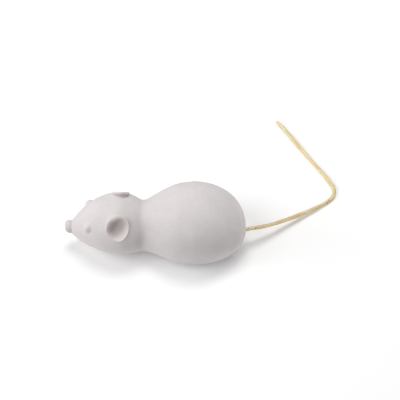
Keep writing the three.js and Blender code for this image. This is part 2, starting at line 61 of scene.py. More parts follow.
shell_low, shell_high = corners("body_shell")
NOSE_X, RUMP_X = shell_low[0], shell_high[0]
MIDDLE_Y = (shell_low[1] + shell_high[1]) / 2
SHELL_BOTTOM = shell_low[2]
BODY_RADIUS = (shell_high[1] - shell_low[1]) / 2


# ---------------------------------------------------------------- camera, floor and light

AIM = Vector((22.15 * MM, MIDDLE_Y + 9.25 * MM, 22.9 * MM))
CAMERA_ELEVATION = math.radians(55)
CAMERA_DISTANCE = 0.6
CAMERA_LENS = 109.0


def add_camera():
    data = bpy.data.cameras.new("camera")
    data.lens = CAMERA_LENS
    data.sensor_width = 36
    data.clip_start = 0.01
    back = Vector((0, -math.cos(CAMERA_ELEVATION), math.sin(CAMERA_ELEVATION)))
    camera = bpy.data.objects.new("camera", data)
    camera.location = AIM + back * CAMERA_DISTANCE
    camera.rotation_mode = "QUATERNION"
    camera.rotation_quaternion = (-back).to_track_quat("-Z", "Y")
    bpy.context.scene.collection.objects.link(camera)
    bpy.context.scene.camera = camera


# Soft round lamps about the mouse: azimuth, elevation, size in metres, power in watts.
# Azimuth 0 is the mouse's left side (-Y), 90 its tail and 270 its nose.
LIGHTS = {
    "nose_side_high": (292, 48, 0.70, 3.8),
    "nose_side_low": (270, 20, 0.45, 1.6),
    "overhead": (180, 75, 0.45, 3.2),
    "tail_side_low": (90, 20, 0.45, 1.15),
    "tail_side_high": (135, 48, 0.45, 1.3),
}
LIGHT_DISTANCE = 0.9
WORLD_STRENGTH = 0.1
BACKDROP_BRIGHTNESS = 0.9
FLOOR_HALF = 3.0
# The floor's own light, near the mouse and far off, and the distances between which it grows.
FLOOR_GLOW = (0.15, 0.8)
GLOW_REACH = (0.25, 1.3)


def add_light(name, azimuth, elevation, size, power):
    data = bpy.data.lights.new(name, "AREA")
    data.shape = "DISK"
    data.size = size
    data.energy = power
    turn, rise = math.radians(azimuth), math.radians(elevation)
    across = math.cos(rise)
    away = Vector((math.sin(turn) * across, -math.cos(turn) * across, math.sin(rise)))
    lamp = bpy.data.objects.new(name, data)
    lamp.location = Vector((0, 0, 0.02)) + away * LIGHT_DISTANCE
    lamp.rotation_mode = "QUATERNION"
    lamp.rotation_quaternion = (-away).to_track_quat("-Z", "Y")
    bpy.context.scene.collection.objects.link(lamp)


def add_floor():
    half = FLOOR_HALF
    mesh = bpy.data.meshes.new("floor")
    square = [(-half, -half, 0), (half, -half, 0), (half, half, 0), (-half, half, 0)]
    mesh.from_pydata(square, [], [(0, 1, 2, 3)])
    floor = bpy.data.objects.new("floor", mesh)
    bpy.context.scene.collection.objects.link(floor)
    paint, tree, shader = surface("floor_paint", Roughness=0.9)
    shader.inputs["Base Color"].default_value = (0.93, 0.93, 0.93, 1)
    shader.inputs["Specular IOR Level"].default_value = 0.1
    shader.inputs["Emission Color"].default_value = (1, 1, 1, 1)
    # The floor glows softly, and more so where it is too far off for the lamps to reach.
    place = tree.nodes.new("ShaderNodeTexCoord")
    distance = tree.nodes.new("ShaderNodeVectorMath")
    distance.operation = "LENGTH"
    glow = tree.nodes.new("ShaderNodeMapRange")
    for socket, value in zip(glow.inputs[1:5], (*GLOW_REACH, *FLOOR_GLOW)):
        socket.default_value = value
    tree.links.new(place.outputs["Object"], distance.inputs[0])
    tree.links.new(distance.outputs["Value"], glow.inputs[0])
    tree.links.new(glow.outputs["Result"], shader.inputs["Emission Strength"])
    mesh.materials.append(paint)


def add_surroundings():
    """A faint even light from all round. What the camera sees behind the floor is plain and pale."""
    world = bpy.data.worlds.new("studio")
    world.use_nodes = True
    tree = world.node_tree
    faint = tree.nodes["Background"]
    faint.inputs["Color"].default_value = (1, 1, 1, 1)
    faint.inputs["Strength"].default_value = WORLD_STRENGTH
    pale = tree.nodes.new("ShaderNodeBackground")
    pale.inputs["Color"].default_value = (1, 1, 1, 1)
    pale.inputs["Strength"].default_value = BACKDROP_BRIGHTNESS
    path = tree.nodes.new("ShaderNodeLightPath")
    chosen = tree.nodes.new("ShaderNodeMixShader")
    tree.links.new(path.outputs["Is Camera Ray"], chosen.inputs["Fac"])
    tree.links.new(faint.outputs["Background"], chosen.inputs[1])
    tree.links.new(pale.outputs["Background"], chosen.inputs[2])
    tree.links.new(chosen.outputs["Shader"], tree.nodes["World Output"].inputs["Surface"])
    bpy.context.scene.world = world
    bpy.context.scene.view_settings.view_transform = "Standard"


# ---------------------------------------------------------------- materials


def surface(name, **values):
    """A new material, its node tree and its shader, with plain values on the shader's sockets."""
    made = bpy.data.materials.new(name)
    made.use_nodes = True
    tree = made.node_tree
    shader = tree.nodes["Principled BSDF"]
    for socket, value in values.items():
        shader.inputs[socket.replace("_", " ")].default_value = value
    return made, tree, shader


def noise_of(tree, grain, detail=3.0, stretch=(1, 1, 1), shift=0.0, source="Object"):
    """Noise whose features are about one grain across, in metres, or that much times stretch."""
    place = tree.nodes.new("ShaderNodeTexCoord")
    mapping = tree.nodes.new("ShaderNodeMapping")
    mapping.inputs["Scale"].default_value = [1 / (grain * s) for s in stretch]
    mapping.inputs["Location"].default_value = (shift, shift, shift)
    texture = tree.nodes.new("ShaderNodeTexNoise")
    texture.inputs["Scale"].default_value = 1.0
    texture.inputs["Detail"].default_value = detail
    tree.links.new(place.outputs[source], mapping.inputs["Vector"])
    tree.links.new(mapping.outputs["Vector"], texture.inputs["Vector"])
    return texture.outputs["Fac"]


def ramp(tree, factor, *stops):
    """Colours or greys at places along a factor."""
    node = tree.nodes.new("ShaderNodeValToRGB")
    elements = node.color_ramp.elements
    while len(elements) < len(stops):
        elements.new(0.5)
    for element, (place, colour) in zip(elements, stops):
        grey = not hasattr(colour, "__len__")
        element.position = place
        element.color = (colour, colour, colour, 1) if grey else (*colour, 1)
    tree.links.new(factor, node.inputs["Fac"])
    return node.outputs["Color"]


def multiplied(tree, first, second):
    node = tree.nodes.new("ShaderNodeMix")
    node.data_type = "RGBA"
    node.blend_type = "MULTIPLY"
    node.inputs["Factor"].default_value = 1.0
    tree.links.new(first, node.inputs["A"])
    tree.links.new(second, node.inputs["B"])
    return node.outputs["Result"]


def add_bump(tree, shader, height, depth):
    """Relief of about that depth in metres, over any relief that the shader already has."""
    node = tree.nodes.new("ShaderNodeBump")
    node.inputs["Distance"].default_value = depth
    tree.links.new(height, node.inputs["Height"])
    normal = shader.inputs["Normal"]
    if normal.is_linked:
        tree.links.new(normal.links[0].from_socket, node.inputs["Normal"])
    tree.links.new(node.outputs["Normal"], normal)


def matte_skin(name, pale, deep):
    """Pale matte moulding: a cloudy tone, fine grains and a few darker specks."""
    made, tree, shader = surface(name)
    shader.inputs["Specular IOR Level"].default_value = 0.25
    clouds = ramp(tree, noise_of(tree, 7 * MM, 2), (0.35, deep), (0.7, pale))
    grains = ramp(tree, noise_of(tree, 0.55 * MM, 4, shift=3), (0.3, 0.93), (0.62, 1.0))
    specks = ramp(tree, noise_of(tree, 0.8 * MM, 1, shift=9), (0.22, 0.86), (0.3, 1.0))
    toned = multiplied(tree, clouds, grains)
    toned = multiplied(tree, toned, specks)
    tree.links.new(toned, shader.inputs["Base Color"])
    rough = ramp(tree, noise_of(tree, 1.2 * MM, 3, shift=5), (0.3, 0.72), (0.7, 0.9))
    tree.links.new(rough, shader.inputs["Roughness"])
    add_bump(tree, shader, noise_of(tree, 0.5 * MM, 5, shift=3), 0.03 * MM)
    add_bump(tree, shader, noise_of(tree, 2.6 * MM, 2, shift=1), 0.05 * MM)
    return made


def straw_fibre():
    """Dry plant fibre: streaks along the strand, with some dark flecks."""
    made, tree, shader = surface("straw_fibre")
    shader.inputs["Specular IOR Level"].default_value = 0.35
    streaks = noise_of(tree, 1.0, 4, stretch=(0.045, 9 * MM, 1), source="UV")
    tone = ramp(
        tree,
        streaks,
        (0.30, (0.50, 0.38, 0.17)),
        (0.45, (0.79, 0.66, 0.40)),
        (0.62, (0.95, 0.86, 0.66)),
    )
    patches = noise_of(tree, 1.0, 2, stretch=(0.9, 6 * MM, 1), shift=4, source="UV")
    tint = ramp(tree, patches, (0.38, (1.0, 0.87, 0.76)), (0.6, (0.97, 1.0, 0.9)))
    toned = multiplied(tree, tone, tint)
    flecks = noise_of(tree, 1.0, 1, stretch=(0.3, 1.6 * MM, 1), shift=11, source="UV")
    dark = ramp(tree, flecks, (0.27, (0.28, 0.20, 0.09)), (0.32, (1, 1, 1)))
    toned = multiplied(tree, toned, dark)
    tree.links.new(toned, shader.inputs["Base Color"])
    rough = ramp(tree, streaks, (0.3, 0.75), (0.7, 0.5))
    tree.links.new(rough, shader.inputs["Roughness"])
    fine = noise_of(tree, 1.0, 5, stretch=(0.03, 14 * MM, 1), shift=2, source="UV")
    add_bump(tree, shader, fine, 0.08 * MM)
    return made


def knotted_fibre():
    """The same dry fibre for the knot inside, without the strand's own coordinates."""
    made, tree, shader = surface("knotted_fibre")
    streaks = noise_of(tree, 0.5 * MM, 4, stretch=(4, 1, 1))
    tone = ramp(tree, streaks, (0.3, (0.52, 0.40, 0.18)), (0.62, (0.93, 0.83, 0.60)))
    tree.links.new(tone, shader.inputs["Base Color"])
    tree.links.new(ramp(tree, streaks, (0.3, 0.75), (0.7, 0.5)), shader.inputs["Roughness"])
    add_bump(tree, shader, streaks, 0.06 * MM)
    return made


def worn_metal(name, bright, dull, rough, grain=(1, 1, 1), relief=0.006):
    """Bare metal: fine marks along its grain, a few clouded patches and uneven gloss."""
    made, tree, shader = surface(name, Metallic=1.0)
    clouds = noise_of(tree, 3 * MM, 4, shift=2)
    marks = noise_of(tree, 0.16 * MM, 4, stretch=grain, shift=6)
    tone = ramp(tree, clouds, (0.35, dull), (0.62, bright))
    scuffs = ramp(tree, marks, (0.3, 0.82), (0.6, 1.0))
    tree.links.new(multiplied(tree, tone, scuffs), shader.inputs["Base Color"])
    low, high = rough
    gloss = ramp(tree, marks, (0.3, high), (0.7, low))
    tree.links.new(gloss, shader.inputs["Roughness"])
    add_bump(tree, shader, marks, relief * MM)
    return made


def blued_steel():
    """Spring steel, blued by heat, with straw-brown where it was hotter."""
    made, tree, shader = surface("blued_steel", Metallic=1.0)
    heat = noise_of(tree, 4 * MM, 3)
    stops = ((0.36, (0.36, 0.27, 0.20)), (0.47, (0.16, 0.18, 0.29)), (0.7, (0.22, 0.30, 0.45)))
    tree.links.new(ramp(tree, heat, *stops), shader.inputs["Base Color"])
    marks = noise_of(tree, 0.2 * MM, 4, stretch=(1, 6, 1))
    tree.links.new(ramp(tree, marks, (0.3, 0.42), (0.7, 0.24)), shader.inputs["Roughness"])
    add_bump(tree, shader, marks, 0.005 * MM)
    return made


def red_plastic():
    """Moulded wheel: glossy, a little cloudy, with dust dulling it here and there."""
    made, tree, shader = surface("red_plastic")
    clouds = noise_of(tree, 2.5 * MM, 3)
    tone = ramp(tree, clouds, (0.3, (0.40, 0.055, 0.04)), (0.7, (0.50, 0.085, 0.055)))
    tree.links.new(tone, shader.inputs["Base Color"])
    dust = noise_of(tree, 0.6 * MM, 5, shift=7)
    tree.links.new(ramp(tree, dust, (0.4, 0.24), (0.75, 0.5)), shader.inputs["Roughness"])
    add_bump(tree, shader, dust, 0.012 * MM)
    return made


def black_rubber():
    made, tree, shader = surface("black_rubber")
    shader.inputs["Specular IOR Level"].default_value = 0.35
    dust = noise_of(tree, 0.9 * MM, 5)
    tone = ramp(tree, dust, (0.45, (0.018, 0.018, 0.019)), (0.8, (0.09, 0.085, 0.078)))
    tree.links.new(tone, shader.inputs["Base Color"])
    tree.links.new(ramp(tree, dust, (0.3, 0.6), (0.7, 0.85)), shader.inputs["Roughness"])
    add_bump(tree, shader, noise_of(tree, 0.25 * MM, 4, shift=4), 0.02 * MM)
    return made


def ivory_nylon():
    made, tree, shader = surface("ivory_nylon")
    clouds = noise_of(tree, 2 * MM, 3)
    tone = ramp(tree, clouds, (0.3, (0.74, 0.70, 0.60)), (0.7, (0.82, 0.79, 0.71)))
    tree.links.new(tone, shader.inputs["Base Color"])
    grains = noise_of(tree, 0.3 * MM, 4, shift=3)
    tree.links.new(ramp(tree, grains, (0.3, 0.4), (0.7, 0.58)), shader.inputs["Roughness"])
    add_bump(tree, shader, grains, 0.012 * MM)
    return made


# ---------------------------------------------------------------- making pieces

SHARP = math.radians(32)
# The rounding of a cutter's edges, small enough not to show.
CUTTER_EDGE = 0.01 * MM


def piece(name, mesh, finish, body, replaces=()):
    """One visible piece: its mesh, its finish, the body it rides on and the nodes it stands for."""
    mesh.name = name
    mesh.materials.clear()
    mesh.materials.append(finish)
    mesh.shade_smooth()
    mesh.set_sharp_from_angle(angle=SHARP)
    made = bpy.data.objects.new(name, mesh)
    bpy.context.scene.collection.objects.link(made)
    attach(made, body)
    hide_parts(*replaces)
    return made


def mesh_of(points, faces):
    mesh = bpy.data.meshes.new("mesh")
    mesh.from_pydata([tuple(p) for p in points], [], faces)
    solid = bmesh.new()
    solid.from_mesh(mesh)
    bmesh.ops.recalc_face_normals(solid, faces=solid.faces)
    solid.to_mesh(mesh)
    solid.free()
    return mesh


def ring_faces(rings, sides, closed=False):
    """Quads between rings of points, each ring one after the other."""
    faces = []
    for i in range(rings if closed else rings - 1):
        a, b = i * sides, ((i + 1) % rings) * sides
        for j in range(sides):
            k = (j + 1) % sides
            faces.append((a + j, a + k, b + k, b + j))
    return faces


def softened(profile, radius, closed=True):
    """A profile with every corner rounded off by a small curve."""
    points = [np.array(p, float) for p in profile]
    count = len(points)
    made = []
    for i, here in enumerate(points):
        if not closed and i in (0, count - 1):
            made.append(here)
            continue
        before, after = points[i - 1] - here, points[(i + 1) % count] - here
        reach = min(radius, np.linalg.norm(before) * 0.45, np.linalg.norm(after) * 0.45)
        start = here + before / np.linalg.norm(before) * reach
        end = here + after / np.linalg.norm(after) * reach
        for t in (0, 0.33, 0.67, 1):
            made.append((1 - t) ** 2 * start + 2 * t * (1 - t) * here + t * t * end)
    return made


def turned(profile, centre, axis="Y", sides=64, shape=None):
    """A closed profile of (radius, place along the axis) turned about an axis through centre.

    A shape changes the radius from side to side, for a tread."""
    points = []
    for radius, along in profile:
        for j in range(sides):
            a = 2 * math.pi * j / sides
            here = shape(radius, j) if shape else radius
            across, up = here * math.cos(a), here * math.sin(a)
            spot = {"Y": (across, along, up), "Z": (across, up, along)}[axis]
            points.append(np.array(spot) + centre)
    return mesh_of(points, ring_faces(len(profile), sides, closed=True))


def cut_by(mesh, *cutters, operation="DIFFERENCE"):
    """The mesh after an exact boolean with each cutter mesh."""
    base = bpy.data.objects.new("base", mesh)
    bpy.context.scene.collection.objects.link(base)
    tools = []
    for cutter in cutters:
        tool = bpy.data.objects.new("tool", cutter)
        bpy.context.scene.collection.objects.link(tool)
        tools.append(tool)
        step = base.modifiers.new("cut", "BOOLEAN")
        step.operation = operation
        step.solver = "MANIFOLD"
        step.object = tool
    bpy.context.view_layer.update()
    shown = base.evaluated_get(bpy.context.evaluated_depsgraph_get())
    made = bpy.data.meshes.new_from_object(shown)
    for one in [base, *tools]:
        bpy.data.objects.remove(one)
    return made


def drawn_in(outline, distance):
    """A closed outline moved inwards all round."""
    flat = np.array(outline, float)
    ahead = np.roll(flat, -1, axis=0) - np.roll(flat, 1, axis=0)
    ahead /= np.linalg.norm(ahead, axis=1)[:, None]
    inward = np.stack([-ahead[:, 1], ahead[:, 0]], 1)
    following = np.roll(flat, -1, axis=0)
    if (flat[:, 0] * following[:, 1] - following[:, 0] * flat[:, 1]).sum() < 0:
        inward = -inward
    return flat + inward * distance


def slab(outline, low, high, edge, axis="Z", mirrored=False):
    """An outline extruded along an axis, with its edges rounded over by a small distance.

    A mirrored outline runs along one side and back along the other, point for point."""
    steps = [(1, 0), (0.3, 0.3), (0, 1)]
    rings = [(inset, low + rise * edge) for inset, rise in steps]
    rings += [(inset, high - rise * edge) for inset, rise in reversed(steps)]
    points = []
    for inset, level in rings:
        for u, v in drawn_in(outline, inset * edge):
            points.append((u, v, level) if axis == "Z" else (u, level, v))
    count = len(outline)
    faces = ring_faces(len(rings), count)
    for first in (0, (len(rings) - 1) * count):
        if mirrored:
            for i in range(count // 2 - 1):
                j = count - 1 - i
                faces.append((first + i, first + i + 1, first + j - 1, first + j))
        else:
            faces.append(tuple(range(first, first + count)))
    return mesh_of(points, faces)


def rounded_box_outline(low, high, radius, steps=7):
    """A rectangle between two corners, with round corners."""
    (u0, v0), (u1, v1) = low, high
    corners_at = [(u1 - radius, v1 - radius), (u0 + radius, v1 - radius)]
    corners_at += [(u0 + radius, v0 + radius), (u1 - radius, v0 + radius)]
    outline = []
    for quarter, (u, v) in enumerate(corners_at):
        for a in np.linspace(quarter * math.pi / 2, (quarter + 1) * math.pi / 2, steps):
            outline.append((u + radius * math.cos(a), v + radius * math.sin(a)))
    return outline


def joined(*meshes):
    """Several closed meshes as one, merged where they meet."""
    return cut_by(meshes[0], *meshes[1:], operation="UNION")


def block(low, high):
    (x0, y0, z0), (x1, y1, z1) = low, high
    points = [(x, y, z) for x in (x0, x1) for y in (y0, y1) for z in (z0, z1)]
    faces = [(0, 1, 3, 2), (4, 6, 7, 5), (0, 4, 5, 1), (2, 3, 7, 6), (0, 2, 6, 4), (1, 5, 7, 3)]
    return mesh_of(points, faces)


def rod(radius, low, high, centre, axis="Y", sides=48):
    """A plain round bar along an axis."""
    centre = np.array(centre, float)
    axle = [(1e-7, low), (radius, low), (radius, high), (1e-7, high)]
    return turned(axle, centre, axis, sides)


def smooth_curve(points, count):
    """A centripetal Catmull-Rom curve through the points."""
    p = np.array(points, float)
    p = np.vstack([2 * p[0] - p[1], p, 2 * p[-1] - p[-2]])
    spans = len(p) - 3
    made = []
    for j in range(count + 1):
        i = min(int(spans * j / count), spans - 1)
        w = spans * j / count - i
        before, start, end, after = p[i : i + 4]
        spans_between = ((before, start), (start, end), (end, after))
        d0, d1, d2 = [np.linalg.norm(b - a) ** 0.5 for a, b in spans_between]
        leave = ((start - before) / d0 - (end - before) / (d0 + d1) + (end - start) / d1) * d1
        arrive = ((end - start) / d1 - (after - start) / (d1 + d2) + (after - end) / d2) * d1
        bend = -3 * start + 3 * end - 2 * leave - arrive
        twist = 2 * start - 2 * end + leave + arrive
        made.append(start + leave * w + bend * w**2 + twist * w**3)
    return np.array(made)


# ---------------------------------------------------------------- the tail

TAIL_RADIUS = 1.0 * MM
TAIL_STEPS = 420
TAIL_SIDES = 28
TAIL_LOWEST = 0.02 * MM
LOOSE_FIBRES = 9
# The route of the strand, in millimetres, with y from the mouse's middle plane.
TAIL_ROUTE = [
    (42.4, 0, 10.7),
    (45.2, 0, 10.7),
    (47.8, 0.8, 10.3),
    (52.5, 2.4, 9.2),
    (57.6, 4.8, 7.6),
    (62.9, 7.8, 5.9),
    (68.2, 10.9, 4.4),
    (73.5, 14.1, 3.2),
    (78.8, 17.3, 2.3),
    (83.9, 20.6, 1.6),
    (87.7, 23.3, 1.2),
    (90.5, 26.1, 1.1),
    (91.8, 29.2, 1.1),
    (91.6, 32.4, 1.1),
    (90.2, 35.7, 1.1),
    (88.3, 39.0, 1.1),
    (86.2, 42.2, 1.1),
    (83.9, 45.6, 1.1),
    (79.7, 52.1, 1.1),
    (75.4, 58.8, 1.1),
    (71.1, 65.5, 1.1),
    (66.7, 72.2, 1.1),
    (64.2, 76.0, 1.1),
]


def strand_radius(around, along):
    """The strand's radius at an angle and a distance: a folded strip with creases that wander."""
    turn = 14 * along + 0.6 * math.sin(170 * along)
    oval = 1 + 0.10 * math.cos(2 * (around - turn))
    crease = 0.0
    for place, depth, width in ((0.9, 0.20, 0.22), (2.6, 0.12, 0.16), (4.4, 0.16, 0.2)):
        drift = place + turn + 0.25 * math.sin(95 * along + place)
        off = (around - drift + math.pi) % (2 * math.pi) - math.pi
        crease += depth * math.exp(-((off / width) ** 2))
    swell = 1 + 0.05 * math.sin(210 * along) + 0.035 * math.sin(577 * along + 1)
    ridges = 0.02 * math.sin(9 * around + 5 * math.sin(60 * along))
    return TAIL_RADIUS * (oval * swell - crease + ridges)


def add_tail():
    path = smooth_curve(np.array(TAIL_ROUTE) * MM + (0, MIDDLE_Y, 0), TAIL_STEPS)
    sides = TAIL_SIDES
    steps = np.linalg.norm(np.diff(path, axis=0), axis=1)
    along = np.concatenate([[0], np.cumsum(steps)])
    tangents = np.gradient(path, axis=0)
    tangents /= np.linalg.norm(tangents, axis=1)[:, None]
    points = []
    for i, (spot, ahead) in enumerate(zip(path, tangents)):
        side = np.cross(ahead, (0, 0, 1))
        side /= np.linalg.norm(side)
        up = np.cross(side, ahead)
        to_tip = along[-1] - along[i]
        for j in range(sides):
            a = 2 * math.pi * j / sides
            radius = strand_radius(a, along[i])
            # The tip is cut off slantwise.
            slant = max(0, 1 - to_tip / (3 * MM)) * math.cos(a) * 0.9 * MM
            place = spot + radius * (math.cos(a) * side + math.sin(a) * up) - ahead * slant
            # The strand is pressed flat where it lies on what the mouse stands on.
            place[2] = max(place[2], TAIL_LOWEST)
            points.append(place)
    faces = ring_faces(len(path), sides)
    faces.append(tuple(range(sides)))
    last = (len(path) - 1) * sides
    faces.append(tuple(range(last, last + sides)))
    seeds = random.Random(4)
    for _ in range(LOOSE_FIBRES):
        add_fibre(points, faces, path[-1], tangents[-1], seeds)
    mesh = mesh_of(points, faces)
    lay_out(mesh, path, along)
    made = piece("tail_strand", mesh, finishes["straw"], "root", ["tail"])


def add_fibre(points, faces, tip, ahead, seeds):
    """One fine fibre standing out of the cut end, as a thin closed spike."""
    side = np.cross(ahead, (0, 0, 1))
    up = np.cross(side, ahead)
    angle = seeds.uniform(0, 2 * math.pi)
    out = math.cos(angle) * side + math.sin(angle) * up
    root = tip + out * seeds.uniform(0.2, 0.75) * TAIL_RADIUS - ahead * 1.2 * MM
    reach = seeds.uniform(1.5, 2.3) * MM
    curl = seeds.uniform(0.0, 0.35) * MM
    sides = 5
    first = len(points)
    rings = 5
    for i in range(rings):
        share = i / (rings - 1)
        middle = root + ahead * reach * share + out * curl * share**2
        radius = 0.11 * MM * (1.05 - share)
        for j in range(sides):
            a = 2 * math.pi * j / sides
            points.append(middle + radius * (math.cos(a) * side + math.sin(a) * up))
    faces += [tuple(first + k for k in face) for face in ring_faces(rings, sides)]
    faces.append(tuple(first + j for j in range(sides)))
    faces.append(tuple(first + (rings - 1) * sides + j for j in range(sides)))


def lay_out(mesh, path, along):
    """UVs for the fibre: how far round from one side, in turns, and how far along in metres."""
    layer = mesh.uv_layers.new(name="strand")
    count = len(mesh.vertices)
    places = np.zeros(count * 3)
    mesh.vertices.foreach_get("co", places)
    places = places.reshape(-1, 3)
    nearest = [int(np.argmin(((path - p) ** 2).sum(1))) for p in places]
    for loop in mesh.loops:
        i = loop.vertex_index
        off = places[i] - path[nearest[i]]
        ahead = path[min(nearest[i] + 1, len(path) - 1)] - path[max(nearest[i] - 1, 0)]
        side = np.cross(ahead, (0, 0, 1))
        turn = math.atan2(off[2], float(off @ side) / np.linalg.norm(side)) / (2 * math.pi)
        layer.data[loop.index].uv = (abs(turn), along[nearest[i]])


# ---------------------------------------------------------------- the shell

# The CAD shell's form, a little finer behind the nose: from there to the fullest section, in
# millimetres, as x, radius, height of the axis.
SNOUT_TO_BODY = [
    (-41.45, 3.55, 12.9),
    (-36.0, 8.55, 14.5),
    (-30.0, 12.15, 15.8),
    (-24.0, 14.6, 16.05),
    (-16.5, 15.7, 16.1),
    (-11.0, 14.4, 15.4),
    (-5.8, 13.05, 14.4),
    (-1.0, 14.5, 15.15),
    (5.0, 17.35, 15.9),
    (11.5, 19.7, 16.3),
    (19.0, BODY_RADIUS / MM, 16.4),
]
RUMP_DROP = 4.3 * MM
RUMP_FULLNESS = 2.1
KNOB = {"x": -42.6 * MM, "radius": 3.35 * MM, "height": 13.2 * MM, "bluntness": 0.52}
KNOB_RISE = 0.6 * MM
SHELL_WALL = 1.5 * MM
SHELL_SIDES = 220
HOLLOW_SIDES = 96
TAIL_HOLE_RADIUS = 1.12 * MM
KEY_HOLE_RADIUS = 2.0 * MM
EYE = {"out": 7.0 * MM, "height": 22.3 * MM}
EYES = {-1: {"x": -32.3 * MM, "radius": 2.45 * MM}, 1: {"x": -32.2 * MM, "radius": 2.4 * MM}}
EAR = {"out": 10.35 * MM, "height": 27.2 * MM, "tilt": math.radians(35)}
EARS = {
    "ear_left": {"side": -1, "x": -17.75 * MM, "rim": 7.0 * MM, "width": 0.82, "sunk": 0.0},
    "ear_right": {"side": 1, "x": -17.1 * MM, "rim": 6.5 * MM, "width": 0.71, "sunk": 0.3 * MM},
}


def shell_outline():
    """Rows of x, radius and height of the axis, from the tip of the nose to the rump."""
    rows = []
    for a in np.radians(np.linspace(0, 122, 26)):
        x = KNOB["x"] - (KNOB["x"] - NOSE_X) * math.cos(a)
        radius = KNOB["radius"] * math.sin(a) ** KNOB["bluntness"]
        rows.append((x, radius, KNOB["height"] + KNOB_RISE * math.cos(a)))
    rows += [tuple(row) for row in smooth_curve(SNOUT_TO_BODY, 190) * MM]
    fullest = SNOUT_TO_BODY[-1][0] * MM
    power = 2 / RUMP_FULLNESS
    for a in np.radians(np.linspace(0, 90, 62)[1:]):
        x = fullest + (RUMP_X - fullest) * math.sin(a) ** power
        radius = BODY_RADIUS * max(0, math.cos(a)) ** power
        drop = RUMP_DROP * (1 - math.cos(a))
        rows.append((x, radius, SNOUT_TO_BODY[-1][2] * MM - drop))
    return np.array(rows)


def inner_outline(rows):
    """The outline moved inwards by the wall, behind the solid nose."""
    ahead = np.gradient(rows, axis=0)
    ahead[:, 2] = 0
    ahead /= np.linalg.norm(ahead, axis=1)[:, None]
    moved = rows + SHELL_WALL * np.stack([ahead[:, 1], -ahead[:, 0], 0 * rows[:, 2]], 1)
    kept = moved[(rows[:, 0] > -40.5 * MM) & (moved[:, 1] > 0.2 * MM)]
    return kept[::4]


def round_form(rows, sides):
    points = []
    for x, radius, height in rows:
        for j in range(sides):
            a = 2 * math.pi * j / sides
            points.append((x, MIDDLE_Y + radius * math.sin(a), height + radius * math.cos(a)))
    return np.array(points)


def ear_frame(one):
    """The ear's centre, and its axes: along the mouse, up the rim, and out of the cup."""
    side = one["side"]
    tilt = EAR["tilt"]
    along = np.array((1.0, 0, 0))
    up = np.array((0, -side * math.sin(tilt), math.cos(tilt)))
    out = np.array((0, side * math.cos(tilt), math.sin(tilt)))
    centre = np.array((one["x"], MIDDLE_Y + side * EAR["out"], EAR["height"])) - one["sunk"] * out
    return centre, along, up, out


def ear_point(one, a, radius, height):
    """A point at an angle from rearwards towards the top, both measures in millimetres."""
    centre, along, up, out = ear_frame(one)
    across = math.cos(a) * radius * one["width"] * along + math.sin(a) * radius * up
    return centre + MM * (across + height * out)


def ear_rim(one, a):
    """The ear's outer radius at an angle: rounder at the upper rear, cut away below it."""
    return one["rim"] / MM * (1 + 0.035 * math.cos(2 * (a - 0.8)) + 0.02 * math.cos(3 * (a - 0.8)))


def raise_eyes(points, normals):
    """Domes on the head where the eyes' spheres stand out of it, with a soft edge."""
    edge = 0.3 * MM
    for side, eye in EYES.items():
        centre = np.array((eye["x"], MIDDLE_Y + side * EYE["out"], EYE["height"]))
        away = centre - points
        near = np.linalg.norm(away, axis=1) < 2.5 * eye["radius"]
        reach = (away * normals).sum(1)
        inside = reach**2 - (away**2).sum(1) + eye["radius"] ** 2
        rise = np.where(inside > 0, reach + np.sqrt(np.maximum(inside, 0)), -1.0 * MM)
        rise = np.maximum(0.5 * (rise + np.sqrt(rise**2 + edge**2)) - 0.02 * MM, 0)
        points = points + normals * np.where(near, rise, 0)[:, None]
    return points


def swell_round_ears(points, normals):
    """The head rises to meet the front of each ear and is drawn in round its upper rear."""
    for one in EARS.values():
        centre, along, up, _ = ear_frame(one)
        off = points - centre
        across = off @ along / one["width"]
        high = off @ up
        gap = np.hypot(across, high) - (one["rim"] - 0.9 * MM)
        close = np.linalg.norm(off, axis=1) < 2 * one["rim"]
        round_it = np.maximum(np.hypot(across, high), 1e-9)
        front = np.clip(-across / round_it, 0, 1) ** 1.5
        rear = np.clip((0.8 * across + 0.6 * high) / round_it, 0, 1)
        rise = (0.45 * front - 0.75 * rear) * MM * np.exp(-((np.maximum(gap, 0) / (1.1 * MM)) ** 2))
        points = points + normals * np.where(close, rise, 0)[:, None]
    return points


def hollow_flanks(points, normals):
    """The neck is drawn in a little more on its two sides than above and below."""
    along = (points[:, 0] + 5.6 * MM) / (3.0 * MM)
    sideways = np.abs(normals[:, 1]) * np.clip(1 - 1.2 * np.abs(normals[:, 2] - 0.25), 0, 1)
    depth = 0.95 * MM * np.exp(-(along**2)) * sideways
    return points - normals * depth[:, None]


def uneven(points, normals):
    """Hand-finished moulding: dents and swellings of a few hundredths of a millimetre."""
    lift = [
        0.07 * noise.noise(Vector(p) / (9 * MM)) + 0.02 * noise.noise(Vector(p) / (2.2 * MM))
        for p in points
    ]
    return points + normals * (np.array(lift) * MM)[:, None]


def outward(points, rings, sides):
    """Each point's outward direction, from its neighbours on the grid."""
    grid = points.reshape(rings, sides, 3)
    around = np.roll(grid, -1, axis=1) - np.roll(grid, 1, axis=1)
    along = np.gradient(grid, axis=0)
    normal = np.cross(along, around).reshape(-1, 3)
    length = np.linalg.norm(normal, axis=1)
    axis = grid.mean(axis=1, keepdims=True)
    plain = (grid - axis).reshape(-1, 3)
    normal = np.where(length[:, None] > 1e-14, normal / np.maximum(length, 1e-14)[:, None], 0)
    facing = np.sign((normal * plain).sum(1))
    return normal * np.where(facing < 0, -1, 1)[:, None]


